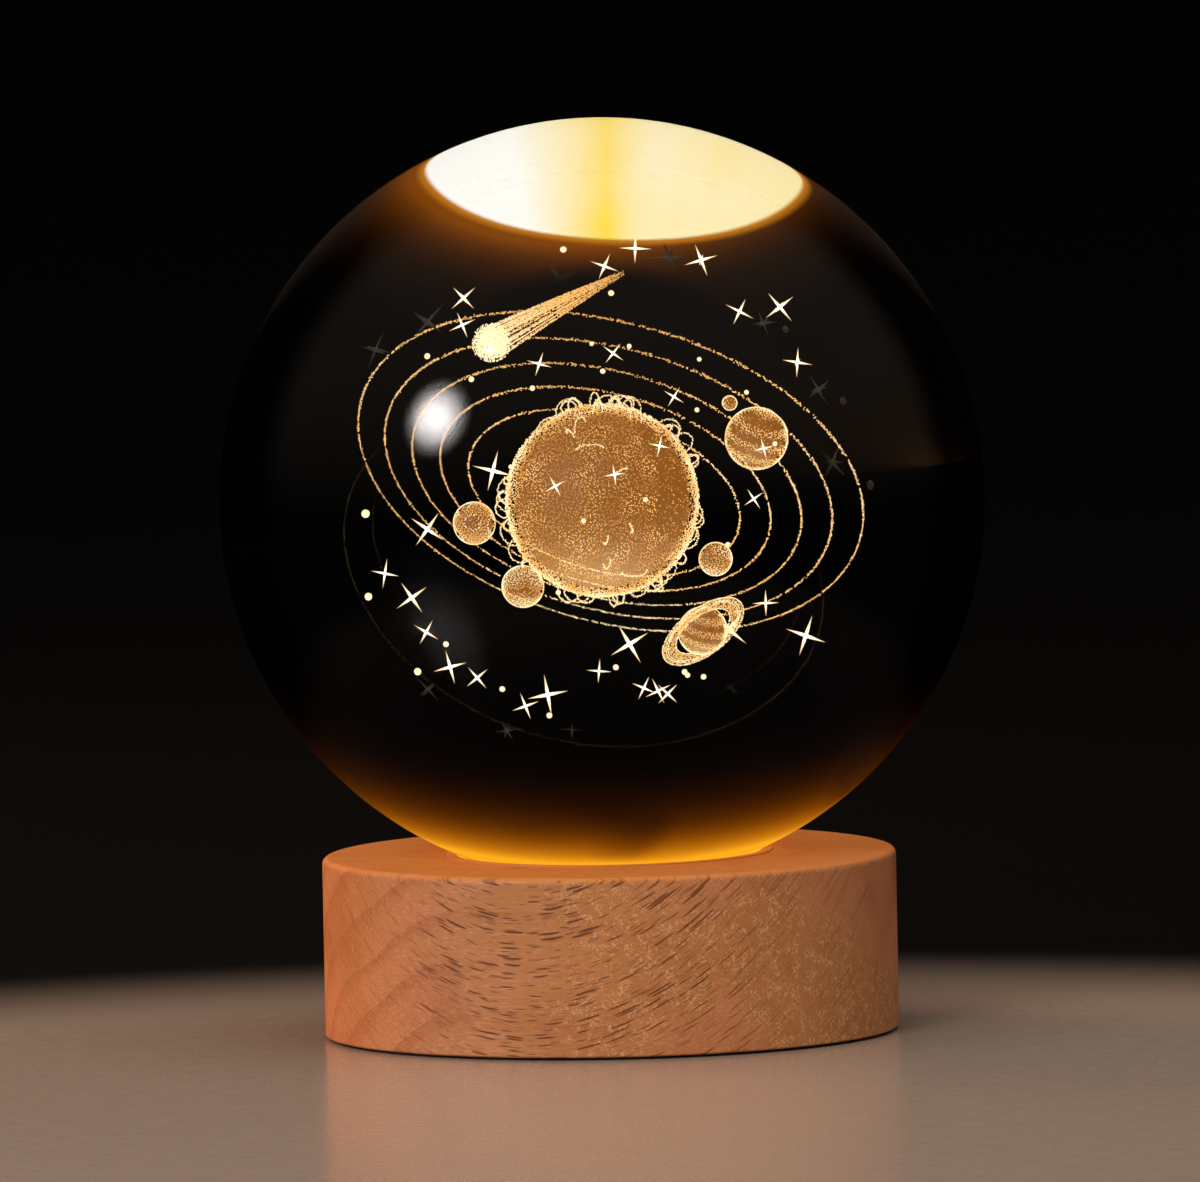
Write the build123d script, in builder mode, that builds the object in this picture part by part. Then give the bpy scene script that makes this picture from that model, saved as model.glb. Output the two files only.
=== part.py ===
"""Crystal ball night light: a clear glass ball with a laser-engraved sun and planets, resting in the
lit well of a round beech base. Millimetres, +Z up, origin on the table under the middle of the base,
front towards -Y and the power inlet towards +Y."""

import os
from math import asin, atan, cos, degrees, radians, sin, sqrt, tan

from build123d import *

# Driving dimensions of the ball, its seat and the base
ball_radius = 40.0
base_radius = 30.0
well_radius = 15.0
seat_inset = 0.5
seat_gap = 0.12
edge_round = 0.7
bottom_chamfer = 0.15

# Seat ring
ring_width = 2.2
ring_depth = 2.0
ring_proud = 0.1
ring_clearance = 0.1

# Diffuser and light chamber
diffuser_gap = 1.0
diffuser_thickness = 1.8
diffuser_ledge = 1.5
diffuser_clearance = 0.1
diffuser_edge = 0.3
chamber_height = 3.0

# Lamp board, its lamps and resistors
board_thickness = 1.6
board_ledge = 5.6
board_clearance = 1.3
board_tongue_width = 12.0
lamp_count = 6
lamp_circle_radius = 8.5
lamp_side = 5.0
lamp_height = 1.5
lamp_window_radius = 2.1
lamp_window_depth = 0.7
lamp_window_clearance = 0.05
resistor_count = 6
resistor_circle_radius = 9.5
resistor_length = 3.2
resistor_width = 1.6
resistor_height = 0.6

# Power inlet: a small flat socket with a rounded shell
shell_width = 8.94
shell_height = 3.26
shell_length = 7.35
shell_wall = 0.3
shell_round_share = 0.49
insert_clearance = 0.05
insert_back_length = 2.4
tongue_width = 6.7
tongue_thickness = 0.7
tongue_length = 4.4
contact_count = 12
contact_pitch = 0.5
contact_width = 0.25
contact_thickness = 0.05
contact_length = 3.4
recess_width = 13.2
recess_height = 6.6
recess_corner = 2.4
recess_depth = 6.0
mouth_wall = 1.2
socket_clearance = 0.2
wiring_space = 3.3

# Bottom cover, foot ring and screws
cover_thickness = 1.6
screw_land = 5.6
cover_clearance = 0.1
foot_thickness = 0.3
foot_width = 2.6
foot_margin = 0.8
screw_count = 3
screw_first_angle = 30.0
board_screw_radius = 1.0
board_screw_length = 4.4
board_screw_head_radius = 1.9
board_screw_head_height = 1.3
cover_screw_radius = 1.1
cover_screw_length = 7.5
cover_screw_head_radius = 2.1
countersink_slope = 45.0
screw_hole_clearance = 0.15
thread_clearance = 0.05
screw_tip = 0.4
screw_head_round = 0.5
drive_slot_width = 0.5
drive_slot_length = 1.8
drive_slot_depth = 0.7

# Engraved picture: a sun, planets on their orbits, a comet and stars
orbit_tilt = 30.0
orbit_roll = 14.0
orbit_line_radius = 0.13
sun_radius = 7.6
# Each planet: distance from the sun, place along its orbit in degrees, radius
planets = [
    (9.6, 330.0, 1.2),
    (11.7, 212.0, 1.6),
    (13.8, 45.0, 1.9),
    (15.9, 245.0, 1.7),
    (18.0, 297.0, 2.0),
]
moon_radius = 0.45
moon_distance = 2.9
moon_bearing = (-0.5, -0.3, 0.8)
ring_inner_radius = 2.6
ring_outer_radius = 3.9
ring_thickness = 0.2
ring_tilt = -30.0
ring_roll = -33.0
comet_head_radius = 1.5
comet_tail_radius = 1.4
comet_tail_end_radius = 0.15
comet_tail_length = 11.0
comet_distance = 14.5
comet_turn = 160.0
comet_climb = 40.0
comet_bearing = (0.9, 0.2, 0.42)
star_count = 34
star_arm = 1.25
star_waist = 0.18
star_tip = 0.03
star_nearest = 13.5
star_farthest = 19.0
dot_count = 30
dot_radius = 0.25
dot_nearest = 10.5
dot_farthest = 19.0
dot_first_turn = 119.0
least_climb = 24.0
most_climb = 80.0
golden_angle = 137.508
golden_share = 0.618

# Heights, from the table up
wood_bottom = foot_thickness
cover_top = wood_bottom + cover_thickness
shell_bottom = cover_top + wiring_space
board_bottom = shell_bottom + shell_height
board_top = board_bottom + board_thickness
ledge_height = board_top + chamber_height
diffuser_top = ledge_height + diffuser_thickness
ball_bottom = diffuser_top + diffuser_gap
ball_height = ball_bottom + ball_radius
contact_radius = well_radius + seat_inset
wood_top = ball_height - sqrt(ball_radius**2 - contact_radius**2)
wood_height = wood_top - wood_bottom
ring_bottom = wood_top - ring_depth
socket_height = shell_bottom + shell_height / 2

# Radii and places that follow from the sizes above
light_bore_radius = well_radius - diffuser_ledge
ring_seat_radius = well_radius + ring_width
board_radius = light_bore_radius + board_ledge
board_screw_circle_radius = light_bore_radius + board_ledge / 2
pocket_radius = board_radius + board_clearance
rebate_radius = pocket_radius + screw_land
cover_screw_circle_radius = pocket_radius + screw_land / 2
board_hole_depth = board_screw_length - board_thickness + thread_clearance
cover_hole_depth = cover_screw_length - cover_thickness + thread_clearance
mouth_y = base_radius - recess_depth
channel_end_y = mouth_y - mouth_wall
board_tongue_y = channel_end_y - socket_clearance
channel_width = board_tongue_width + 2 * socket_clearance
shell_back_y = mouth_y - shell_length
tongue_back_y = shell_back_y + insert_back_length
shell_corner = shell_height * shell_round_share
cover_screw_head_height = (cover_screw_head_radius - cover_screw_radius) / tan(radians(countersink_slope))
ball_centre = Vector(0, 0, ball_height)

os.makedirs("parts", exist_ok=True)


def socket_plane(y):
    """The plane that faces the back of the base at y, centred on the power inlet."""
    return Plane(origin=(0, y, socket_height), x_dir=(-1, 0, 0), z_dir=(0, 1, 0))


def save(part, name):
    """Labels a finished piece and writes it as parts/name.step."""
    part.label = name
    export_step(part, f"parts/{name}.step")
    print(f"{name}: {len(part.solids())} solids, {part.volume:.2f} mm3")


# Wooden base: a turned beech disc with a stepped light well, a pocket for the board and an inlet recess
with BuildPart() as wooden_base:
    with BuildSketch(Plane.XY.offset(wood_bottom)):
        Circle(base_radius)
    extrude(amount=wood_height)
    fillet(wooden_base.edges().group_by(Axis.Z)[-1], edge_round)
    chamfer(wooden_base.edges().group_by(Axis.Z)[0], bottom_chamfer)
    with BuildSketch(Plane.XY.offset(wood_bottom)):
        Circle(rebate_radius)
    extrude(amount=cover_thickness, mode=Mode.SUBTRACT)
    with BuildSketch(Plane.XY.offset(cover_top)):
        Circle(pocket_radius)
    extrude(amount=board_top - cover_top, mode=Mode.SUBTRACT)
    with BuildSketch(Plane.XY.offset(board_top)):
        Circle(light_bore_radius)
    extrude(amount=chamber_height, mode=Mode.SUBTRACT)
    with BuildSketch(Plane.XY.offset(ledge_height)):
        Circle(well_radius)
    extrude(amount=wood_top - ledge_height, mode=Mode.SUBTRACT)
    with BuildSketch(Plane.XY.offset(ring_bottom)):
        Circle(ring_seat_radius)
    extrude(amount=ring_depth, mode=Mode.SUBTRACT)
    with BuildSketch(socket_plane(mouth_y)):
        RectangleRounded(recess_width, recess_height, recess_corner)
    extrude(amount=recess_depth, mode=Mode.SUBTRACT)
    with BuildSketch(socket_plane(channel_end_y)):
        RectangleRounded(
            shell_width + 2 * socket_clearance,
            shell_height + 2 * socket_clearance,
            shell_corner + socket_clearance,
        )
    extrude(amount=mouth_wall, mode=Mode.SUBTRACT)
    with BuildSketch(Plane.XY.offset(shell_bottom - socket_clearance)):
        with Locations((0, channel_end_y / 2)):
            Rectangle(channel_width, channel_end_y)
    extrude(amount=board_top - shell_bottom + socket_clearance, mode=Mode.SUBTRACT)
    with Locations(Location((0, 0, board_top), (180, 0, 0))):
        with PolarLocations(board_screw_circle_radius, screw_count, -screw_first_angle):
            Hole(board_screw_radius + thread_clearance, board_hole_depth)
    with Locations(Location((0, 0, cover_top), (180, 0, 0))):
        with PolarLocations(cover_screw_circle_radius, screw_count, -screw_first_angle):
            Hole(cover_screw_radius + thread_clearance, cover_hole_depth)
save(wooden_base.part, "wooden_base")

# Foot ring: a thin soft ring that the base stands on
with BuildPart() as foot_ring:
    with BuildSketch():
        Circle(base_radius - foot_margin)
        Circle(base_radius - foot_margin - foot_width, mode=Mode.SUBTRACT)
    extrude(amount=foot_thickness)
save(foot_ring.part, "foot_ring")

# Bottom cover: a flat disc that closes the pocket, with countersunk screw holes
with BuildPart() as bottom_cover:
    with BuildSketch(Plane.XY.offset(wood_bottom)):
        Circle(rebate_radius - cover_clearance)
    extrude(amount=cover_thickness)
    with Locations(Location((0, 0, wood_bottom), (180, 0, 0))):
        with PolarLocations(cover_screw_circle_radius, screw_count, -screw_first_angle):
            CounterSinkHole(
                cover_screw_radius + screw_hole_clearance,
                cover_screw_head_radius + screw_hole_clearance,
                cover_thickness,
                2 * countersink_slope,
            )
save(bottom_cover.part, "bottom_cover")

# Cover screws: countersunk, flush with the cover, with a cross slot
with BuildPart(mode=Mode.PRIVATE) as cover_screw:
    with BuildSketch(Plane.XY.offset(wood_bottom)):
        Circle(cover_screw_head_radius)
    extrude(amount=cover_screw_head_height, taper=countersink_slope)
    with BuildSketch(Plane.XY.offset(wood_bottom)):
        Circle(cover_screw_radius)
    extrude(amount=cover_screw_length)
    chamfer(cover_screw.edges().group_by(Axis.Z)[-1], screw_tip)
    with BuildSketch(Plane.XY.offset(wood_bottom)):
        Rectangle(drive_slot_length, drive_slot_width)
        Rectangle(drive_slot_width, drive_slot_length)
    extrude(amount=drive_slot_depth, mode=Mode.SUBTRACT)
with BuildPart() as cover_screws:
    with PolarLocations(cover_screw_circle_radius, screw_count, screw_first_angle):
        add(cover_screw.part)
save(cover_screws.part, "cover_screws")

# Lamp board: a round board with a tongue that carries the inlet socket
with BuildPart() as led_board:
    with BuildSketch(Plane.XY.offset(board_bottom)):
        Circle(board_radius)
        with Locations((0, board_tongue_y / 2)):
            Rectangle(board_tongue_width, board_tongue_y)
    extrude(amount=board_thickness)
    with Locations(Location((0, 0, board_bottom), (180, 0, 0))):
        with PolarLocations(board_screw_circle_radius, screw_count, -screw_first_angle):
            Hole(board_screw_radius + screw_hole_clearance, board_thickness)
save(led_board.part, "led_board")

# Board screws: pan heads under the board, shanks in the wood above it
with BuildPart(mode=Mode.PRIVATE) as board_screw:
    with BuildSketch(Plane.XY.offset(board_bottom - board_screw_head_height)):
        Circle(board_screw_head_radius)
    extrude(amount=board_screw_head_height)
    fillet(board_screw.edges().group_by(Axis.Z)[0], screw_head_round)
    with BuildSketch(Plane.XY.offset(board_bottom)):
        Circle(board_screw_radius)
    extrude(amount=board_screw_length)
    chamfer(board_screw.edges().group_by(Axis.Z)[-1], screw_tip)
    with BuildSketch(Plane.XY.offset(board_bottom - board_screw_head_height)):
        Rectangle(drive_slot_length, drive_slot_width)
        Rectangle(drive_slot_width, drive_slot_length)
    extrude(amount=drive_slot_depth, mode=Mode.SUBTRACT)
with BuildPart() as board_screws:
    with PolarLocations(board_screw_circle_radius, screw_count, screw_first_angle):
        add(board_screw.part)
save(board_screws.part, "board_screws")

# Lamps: square housings with a round window, and the warm phosphor that fills each window
with BuildPart() as led_housings:
    with BuildSketch(Plane.XY.offset(board_top)):
        with PolarLocations(lamp_circle_radius, lamp_count):
            Rectangle(lamp_side, lamp_side)
    extrude(amount=lamp_height)
    with BuildSketch(Plane.XY.offset(board_top + lamp_height - lamp_window_depth)):
        with PolarLocations(lamp_circle_radius, lamp_count):
            Circle(lamp_window_radius)
    extrude(amount=lamp_window_depth, mode=Mode.SUBTRACT)
save(led_housings.part, "led_housings")

with BuildPart() as led_phosphors:
    with BuildSketch(Plane.XY.offset(board_top + lamp_height - lamp_window_depth)):
        with PolarLocations(lamp_circle_radius, lamp_count):
            Circle(lamp_window_radius - lamp_window_clearance)
    extrude(amount=lamp_window_depth)
save(led_phosphors.part, "led_phosphors")

# Series resistors: small blocks under the board, one for each lamp
with BuildPart() as series_resistors:
    with BuildSketch(Plane.XY.offset(board_bottom - resistor_height)):
        with PolarLocations(resistor_circle_radius, resistor_count, 180 / resistor_count):
            Rectangle(resistor_width, resistor_length)
    extrude(amount=resistor_height)
save(series_resistors.part, "series_resistors")

# Power inlet: a rounded metal shell, a plastic insert with its tongue, and the contacts on the tongue
with BuildPart() as usb_shell:
    with BuildSketch(socket_plane(shell_back_y)):
        RectangleRounded(shell_width, shell_height, shell_corner)
        RectangleRounded(
            shell_width - 2 * shell_wall,
            shell_height - 2 * shell_wall,
            shell_corner - shell_wall,
            mode=Mode.SUBTRACT,
        )
    extrude(amount=shell_length)
save(usb_shell.part, "usb_shell")

with BuildPart() as usb_insert:
    with BuildSketch(socket_plane(shell_back_y)):
        RectangleRounded(
            shell_width - 2 * (shell_wall + insert_clearance),
            shell_height - 2 * (shell_wall + insert_clearance),
            shell_corner - shell_wall - insert_clearance,
        )
    extrude(amount=insert_back_length)
    with BuildSketch(socket_plane(tongue_back_y)):
        Rectangle(tongue_width, tongue_thickness)
    extrude(amount=tongue_length)
save(usb_insert.part, "usb_insert")

with BuildPart() as usb_contacts:
    for side in (1, -1):
        with BuildSketch(socket_plane(tongue_back_y)):
            with Locations((0, side * (tongue_thickness + contact_thickness) / 2)):
                with GridLocations(contact_pitch, 0, contact_count, 1):
                    Rectangle(contact_width, contact_thickness)
        extrude(amount=contact_length)
save(usb_contacts.part, "usb_contacts")

# Diffuser: a frosted disc that rests on the ledge of the well, above the lamps
with BuildPart() as light_diffuser:
    with BuildSketch(Plane.XY.offset(ledge_height)):
        Circle(well_radius - diffuser_clearance)
    extrude(amount=diffuser_thickness)
    chamfer(light_diffuser.edges().group_by(Axis.Z)[-1], diffuser_edge)
save(light_diffuser.part, "light_diffuser")

# Seat ring: a clear soft ring in the rim of the well, hollowed to fit under the ball
with BuildPart() as seat_ring:
    with BuildSketch(Plane.XY.offset(ring_bottom)):
        Circle(ring_seat_radius - ring_clearance)
        Circle(well_radius, mode=Mode.SUBTRACT)
    extrude(amount=ring_depth + ring_proud)
    with Locations(ball_centre):
        Sphere(ball_radius + seat_gap, mode=Mode.SUBTRACT)
save(seat_ring.part, "seat_ring")

# Engraved picture, at its real size in the middle of the ball, which enlarges it to the eye
orbit_plane = Plane(ball_centre).rotated((orbit_tilt, orbit_roll, 0))


def orbit_point(distance, turn, climb=0.0):
    """A point at a distance from the sun, turned along the orbit plane and climbed out of it."""
    flat = distance * cos(radians(climb))
    local = Vector(flat * cos(radians(turn)), flat * sin(radians(turn)), distance * sin(radians(climb)))
    return orbit_plane.from_local_coords(local)


planet_points = [orbit_point(distance, turn) for distance, turn, size in planets]
moon_point = planet_points[2] + Vector(moon_bearing).normalized() * moon_distance

with BuildPart() as engraved_sun:
    with Locations(ball_centre):
        Sphere(sun_radius)
save(engraved_sun.part, "engraved_sun")

with BuildPart() as engraved_planets:
    for point, (distance, turn, size) in zip(planet_points, planets):
        with Locations(point):
            Sphere(size)
    with Locations(moon_point):
        Sphere(moon_radius)
save(engraved_planets.part, "engraved_planets")

ring_plane = Plane(planet_points[-1]).rotated((ring_tilt, ring_roll, 0))
with BuildPart() as engraved_planet_ring:
    with BuildSketch(ring_plane.offset(-ring_thickness / 2)):
        Circle(ring_outer_radius)
        Circle(ring_inner_radius, mode=Mode.SUBTRACT)
    extrude(amount=ring_thickness)
save(engraved_planet_ring.part, "engraved_planet_ring")

# Comet: a round head and a tail that narrows away from it
comet_point = orbit_point(comet_distance, comet_turn, comet_climb)
comet_plane = Plane(comet_point, z_dir=Vector(comet_bearing))
with BuildPart() as engraved_comet:
    with Locations(comet_plane.offset(comet_tail_length / 2).location):
        Cone(comet_tail_radius, comet_tail_end_radius, comet_tail_length)
    with Locations(comet_point):
        Sphere(comet_head_radius)
save(engraved_comet.part, "engraved_comet")

# Orbits: thin round lines, interrupted by what lies on them
with BuildPart() as engraved_orbits:
    with Locations(orbit_plane.location):
        for distance, turn, size in planets:
            Torus(distance, orbit_line_radius)
    add([engraved_planets.part, engraved_planet_ring.part], mode=Mode.SUBTRACT)
save(engraved_orbits.part, "engraved_orbits")


def scattered(number, count, nearest, farthest, first_turn=0.0):
    """A point of a scatter above and below the orbits: heights step evenly, turns by the golden angle."""
    share = (number + 1 / 2) / count
    low = sin(radians(least_climb))
    high = sin(radians(most_climb))
    side = 1 if number % 2 else -1
    climb = side * degrees(asin(low + (high - low) * share))
    distance = nearest + (farthest - nearest) * (number * golden_share % 1)
    return orbit_point(distance, first_turn + golden_angle * number, climb)


# Stars: six slender arms each, turned a little more from one to the next, with round dots between them
with BuildPart(mode=Mode.PRIVATE) as star:
    Box(2 * star_waist, 2 * star_waist, 2 * star_waist)
    for side in star.faces():
        with BuildSketch(Plane(side)):
            Rectangle(2 * star_waist, 2 * star_waist)
    arm_length = star_arm - star_waist
    extrude(amount=arm_length, taper=degrees(atan((star_waist - star_tip) / arm_length)))
star_places = [
    Location(
        tuple(scattered(number, star_count, star_nearest, star_farthest)),
        (0, golden_angle * number, 0),
    )
    for number in range(star_count)
]
dot_places = [
    scattered(number, dot_count, dot_nearest, dot_farthest, dot_first_turn)
    for number in range(dot_count)
]
with BuildPart() as engraved_stars:
    with Locations(*star_places):
        add(star.part)
    with Locations(*dot_places):
        Sphere(dot_radius)
save(engraved_stars.part, "engraved_stars")

# Crystal ball: clear glass with a void for each engraved zone
engraved_zones = [
    engraved_sun.part,
    engraved_planets.part,
    engraved_planet_ring.part,
    engraved_comet.part,
    engraved_orbits.part,
    engraved_stars.part,
]
with BuildPart() as crystal_ball:
    with Locations(ball_centre):
        Sphere(ball_radius)
    add(engraved_zones, mode=Mode.SUBTRACT)
save(crystal_ball.part, "crystal_ball")

print(f"base height {wood_top:.2f} mm, ball centre {ball_height:.2f} mm")
print(f"overall height {ball_height + ball_radius:.2f} mm, clear space over diffuser {diffuser_gap:.2f} mm")
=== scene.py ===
"""Looks for the crystal ball night light: a clear glass ball with an engraved sky, on a lit beech base.

Everything is in metres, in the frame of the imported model: +Z up, the front towards -Y, the power inlet towards +Y.
"""

import logging
from dataclasses import dataclass, field
from enum import Enum
from math import cos, pi, radians, sin, sqrt
from typing import Any

import bpy
import numpy as np
from mathutils import Matrix, Vector


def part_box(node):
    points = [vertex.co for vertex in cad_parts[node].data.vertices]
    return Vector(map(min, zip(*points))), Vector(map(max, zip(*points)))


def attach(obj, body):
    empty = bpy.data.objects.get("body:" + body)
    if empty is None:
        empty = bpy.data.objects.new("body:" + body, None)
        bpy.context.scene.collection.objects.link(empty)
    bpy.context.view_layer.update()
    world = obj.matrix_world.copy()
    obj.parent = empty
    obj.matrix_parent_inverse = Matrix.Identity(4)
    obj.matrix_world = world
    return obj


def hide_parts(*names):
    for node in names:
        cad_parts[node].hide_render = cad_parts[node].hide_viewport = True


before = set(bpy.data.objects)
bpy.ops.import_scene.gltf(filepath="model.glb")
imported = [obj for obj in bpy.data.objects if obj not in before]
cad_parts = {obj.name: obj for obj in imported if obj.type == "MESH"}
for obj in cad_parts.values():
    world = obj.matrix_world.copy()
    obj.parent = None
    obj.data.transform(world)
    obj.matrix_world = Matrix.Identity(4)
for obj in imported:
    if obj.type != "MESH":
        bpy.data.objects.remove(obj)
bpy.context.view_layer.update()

log = logging.getLogger("night_light")
logging.basicConfig(level=logging.INFO, format="%(name)s: %(message)s")

Colour = tuple[float, float, float]
MM = 0.001
BLACK: Colour = (0.0, 0.0, 0.0)
WHITE: Colour = (1.0, 1.0, 1.0)
GOLDEN_ANGLE = radians(137.508)
GOLDEN_SHARE = 0.618


class Body(Enum):
    """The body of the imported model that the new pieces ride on."""

    BALL = "ball"


class Slot(Enum):
    """Names of finishes for the new pieces; no piece here takes them."""

    CRYSTAL = "crystal"
    ENGRAVING = "engraving"
    BRIGHT = "engraving_bright"


class PlanetFace(Enum):
    """What is engraved on a planet."""

    BANDS = "bands"
    CRATERS = "craters"
    CLOUDS = "clouds"


# Shader maths


class Wire:
    """An output socket that takes part in Python expressions; each operator adds a Math node."""

    def __init__(self, recipe: "Recipe", socket: bpy.types.NodeSocket) -> None:
        """Keeps the recipe and the socket."""
        self.recipe = recipe
        self.socket = socket

    def math(self, operation: str, *values: Any) -> "Wire":
        """Adds one Math node.

        Args:
            operation: The node's operation.
            values: Wires or numbers for its inputs, in order.

        Returns:
            The node's result.
        """
        return self.recipe.node("ShaderNodeMath", {"operation": operation}, dict(enumerate(values)))

    def __add__(self, other: Any) -> "Wire":
        """self + other."""
        return self.math("ADD", self, other)

    __radd__ = __add__

    def __sub__(self, other: Any) -> "Wire":
        """self - other."""
        return self.math("SUBTRACT", self, other)

    def __rsub__(self, other: Any) -> "Wire":
        """other - self."""
        return self.math("SUBTRACT", other, self)

    def __mul__(self, other: Any) -> "Wire":
        """self times other."""
        return self.math("MULTIPLY", self, other)

    __rmul__ = __mul__

    def __truediv__(self, other: Any) -> "Wire":
        """self over other."""
        return self.math("DIVIDE", self, other)

    def __pow__(self, other: Any) -> "Wire":
        """self to the power other."""
        return self.math("POWER", self, other)

    def smaller(self, other: Any) -> "Wire":
        """The smaller of self and other."""
        return self.math("MINIMUM", self, other)

    def root(self) -> "Wire":
        """The square root."""
        return self.math("SQRT", self)

    def part(self) -> "Wire":
        """What is left after the whole number is taken away."""
        return self.math("FRACT", self)

    def turn(self, across: "Wire") -> "Wire":
        """The angle of the point (across, self), from minus pi to pi."""
        return self.math("ARCTAN2", self, across)

    def largest(self, other: Any) -> "Wire":
        """The larger of self and other."""
        return self.math("MAXIMUM", self, other)

    def grown(self) -> "Wire":
        """The number e to the power self."""
        return self.math("EXPONENT", self)

    def near(self, value: float, width: float) -> "Wire":
        """1 where self is that value, falling to 0 at width from it on both sides."""
        return (1.0 - self.math("ABSOLUTE", self - value) / width).clipped()

    def clipped(self) -> "Wire":
        """Self held between 0 and 1."""
        return self.largest(0.0).smaller(1.0)

    def step(self, low: float, high: float) -> "Wire":
        """A smooth step from 0 at low to 1 at high, or from 1 down to 0 where low is the larger."""
        start, end, first, last = (low, high, 0.0, 1.0) if low < high else (high, low, 1.0, 0.0)
        return self.recipe.node(
            "ShaderNodeMapRange",
            {"interpolation_type": "SMOOTHSTEP", "clamp": True},
            {"Value": self, "From Min": start, "From Max": end, "To Min": first, "To Max": last},
        )

    def layer(self, low: float, high: float, share: float) -> "Wire":
        """A smooth step from 0 at low to share at high, or the other way round."""
        return self.step(low, high) * share

    def about(self, middle: float, swing: float) -> "Wire":
        """A noise around a half made a number around middle, at most half the swing away from it."""
        return (self - 0.5) * swing + middle


class Recipe:
    """A material's node tree, built through one method that adds any node."""

    def __init__(self, name: str) -> None:
        """Starts an empty material.

        Args:
            name: Its name.
        """
        self.material = bpy.data.materials.new(name)
        self.material.use_nodes = True
        self.nodes = self.material.node_tree.nodes
        self.links = self.material.node_tree.links
        self.nodes.clear()

    def node(self, kind: str, settings: dict[str, Any] | None = None, inputs: dict[Any, Any] | None = None,
             output: Any = 0) -> Wire:
        """Adds a node.

        Args:
            kind: The node's type name.
            settings: Properties that are set before its sockets, such as a Math node's operation.
            inputs: Socket names or numbers, each with its value or the wire that feeds it.
            output: Name or number of the output that is returned.

        Returns:
            The output as a wire.
        """
        made = self.nodes.new(kind)
        for key, value in (settings or {}).items():
            setattr(made, key, value)
        for key, value in (inputs or {}).items():
            socket = made.inputs[key]
            if isinstance(value, Wire):
                self.links.new(value.socket, socket)
            elif isinstance(value, tuple) and socket.type == "RGBA":
                socket.default_value = (*value, 1.0)
            else:
                socket.default_value = value
        return Wire(self, made.outputs[output])

    def sibling(self, wire: Wire, output: str) -> Wire:
        """Another output of the node that a wire comes from."""
        return Wire(self, wire.socket.node.outputs[output])

    def place(self) -> Wire:
        """The point on the piece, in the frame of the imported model."""
        return self.node("ShaderNodeTexCoord", output="Object")

    def axes(self, vector: Wire) -> tuple[Wire, Wire, Wire]:
        """Splits a vector into its three numbers."""
        first = self.node("ShaderNodeSeparateXYZ", inputs={0: vector}, output="X")
        return first, self.sibling(first, "Y"), self.sibling(first, "Z")

    def from_axis(self) -> Wire:
        """Distance from the Z axis."""
        x, y, _ = self.axes(self.place())
        return (x * x + y * y).root()

    def point(self, x: Any, y: Any, z: Any) -> Wire:
        """Joins three numbers into a vector."""
        return self.node("ShaderNodeCombineXYZ", inputs={"X": x, "Y": y, "Z": z})

    def blend(self, share: Any, first: Any, second: Any) -> Wire:
        """Mixes two colours.

        Args:
            share: How much of the second colour shows, from 0 to 1.
            first: The colour where share is 0.
            second: The colour where share is 1.

        Returns:
            The mixed colour.
        """
        made = self.nodes.new("ShaderNodeMix")
        made.data_type = "RGBA"
        colours = [socket for socket in made.inputs if socket.type == "RGBA"]
        for socket, value in ((made.inputs["Factor"], share), (colours[0], first), (colours[1], second)):
            if isinstance(value, Wire):
                self.links.new(value.socket, socket)
            else:
                socket.default_value = (*value, 1.0) if isinstance(value, tuple) else value
        return Wire(self, next(socket for socket in made.outputs if socket.type == "RGBA"))

    def scaled(self, colour: Any, amount: Any) -> Wire:
        """A colour times a number."""
        return self.node("ShaderNodeVectorMath", {"operation": "SCALE"}, {0: colour, "Scale": amount})

    def noise(self, where: Wire, scale: float, detail: float) -> Wire:
        """Smooth noise, mostly between 0.3 and 0.7."""
        return self.node("ShaderNodeTexNoise", inputs={"Vector": where, "Scale": scale, "Detail": detail})

    def bump(self, height: Any, depth: float, strength: float) -> Wire:
        """A normal bent by a height between 0 and 1 that stands for depth metres."""
        return self.node("ShaderNodeBump", inputs={"Strength": strength, "Distance": depth, "Height": height})

    def surface(self, **sockets: Any) -> Wire:
        """A Principled shader; underscores in the names stand for blanks."""
        return self.node("ShaderNodeBsdfPrincipled",
                         inputs={name.replace("_", " "): value for name, value in sockets.items()})

    def mixed(self, share: Any, first: Wire, second: Wire) -> Wire:
        """Mixes two shaders."""
        return self.node("ShaderNodeMixShader", inputs={0: share, 1: first, 2: second})

    def emission(self, colour: Any, strength: float) -> Wire:
        """A shader that only glows."""
        return self.node("ShaderNodeEmission", inputs={"Color": colour, "Strength": strength})

    def added(self, first: Wire, second: Wire) -> Wire:
        """Adds two shaders."""
        return self.node("ShaderNodeAddShader", inputs={0: first, 1: second})

    def finish(self, shader: Wire) -> bpy.types.Material:
        """Ends the tree with its output.

        Args:
            shader: The shader of the whole surface.

        Returns:
            The material.
        """
        out = self.nodes.new("ShaderNodeOutputMaterial")
        self.links.new(shader.socket, out.inputs["Surface"])
        return self.material


def dress(piece: bpy.types.Object, material: bpy.types.Material) -> None:
    """Gives every slot of a piece the material."""
    if not piece.material_slots:
        piece.data.materials.append(material)
    for slot in piece.material_slots:
        slot.link = "OBJECT"
        slot.material = material


# Meshes from whole arrays


FAINTEST_GRAIN = 0.06
HEART_ROWS, HEART_COLUMNS = 30, 60
WAY_NUDGE = 1.6
RIPPLE_WAVES = 8
RIPPLE_PITCH = (0.7, 1.6)
EIGHT_TIPS = np.array([[1, 0, 0], [-1, 0, 0], [0, 1, 0], [0, -1, 0], [0, 0, 1], [0, 0, -1]], dtype=float)
EIGHT_SIDES = np.array([[0, 2, 4], [2, 1, 4], [1, 3, 4], [3, 0, 4], [2, 0, 5], [1, 2, 5], [3, 1, 5], [0, 3, 5]])


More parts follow.
